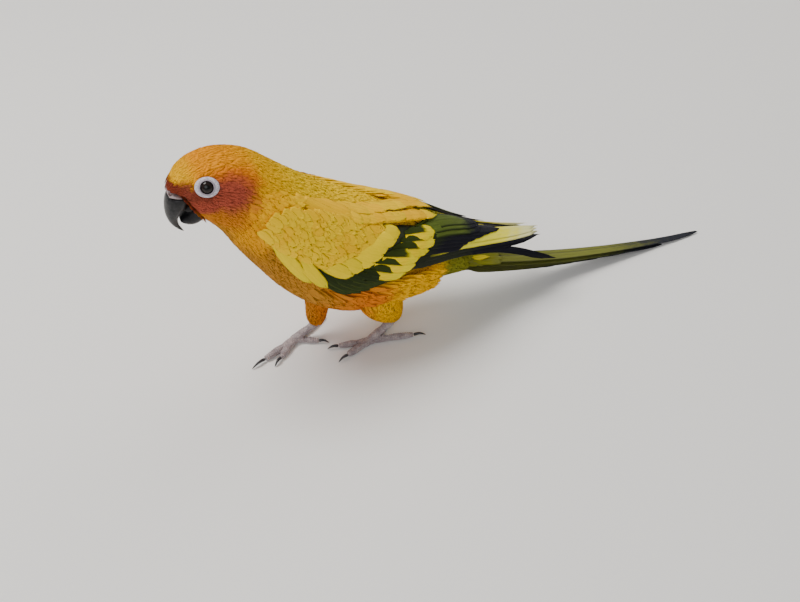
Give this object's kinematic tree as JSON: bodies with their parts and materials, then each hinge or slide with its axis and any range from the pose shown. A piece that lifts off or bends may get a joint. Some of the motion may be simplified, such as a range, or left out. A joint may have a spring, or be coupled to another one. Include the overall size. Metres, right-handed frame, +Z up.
{
  "type": "parrot figure",
  "caption": "Standing sun conure with closed wings, a hooked bill, dark eyes and a long straight tail laid out behind.",
  "frame": {"origin": "centre of the bounding box's underside, on the floor the feet stand on", "axes": "+Z up; the bird looks along -X and its tail points along +X; its left side is -Y"},
  "size_m": [0.2892, 0.0582, 0.1206],
  "materials": {
    "head_feathers": "soft matt feathers, orange with a red mask",
    "neck_feathers": "soft matt feathers, golden yellow",
    "body_feathers": "soft matt feathers, orange and yellow",
    "wing_feathers": "matt feathers, yellow, green and dark blue",
    "tail_feathers": "matt feathers, olive green with dark tips",
    "bill_horn": "satin horn, charcoal black",
    "cere_skin": "dry skin, pale pinkish grey",
    "foot_skin": "scaly skin, pinkish grey",
    "claw_horn": "satin horn, blue black",
    "eye_dark": "wet gloss, near black"
  },
  "bodies": {
    "root": {"head": "head_feathers", "cere": "cere_skin", "bill_upper": "bill_horn", "bill_lower": "bill_horn", "eye_left": "eye_dark", "eye_right": "eye_dark", "neck": "neck_feathers", "torso": "body_feathers", "wing_left": "wing_feathers", "wing_right": "wing_feathers", "tail": "tail_feathers", "thigh_left": "body_feathers", "thigh_right": "body_feathers", "foot_left": "foot_skin", "foot_right": "foot_skin", "claw_left_1": "claw_horn", "claw_left_2": "claw_horn", "claw_left_3": "claw_horn", "claw_left_4": "claw_horn", "claw_right_1": "claw_horn", "claw_right_2": "claw_horn", "claw_right_3": "claw_horn", "claw_right_4": "claw_horn"}
  },
  "joints": []
}
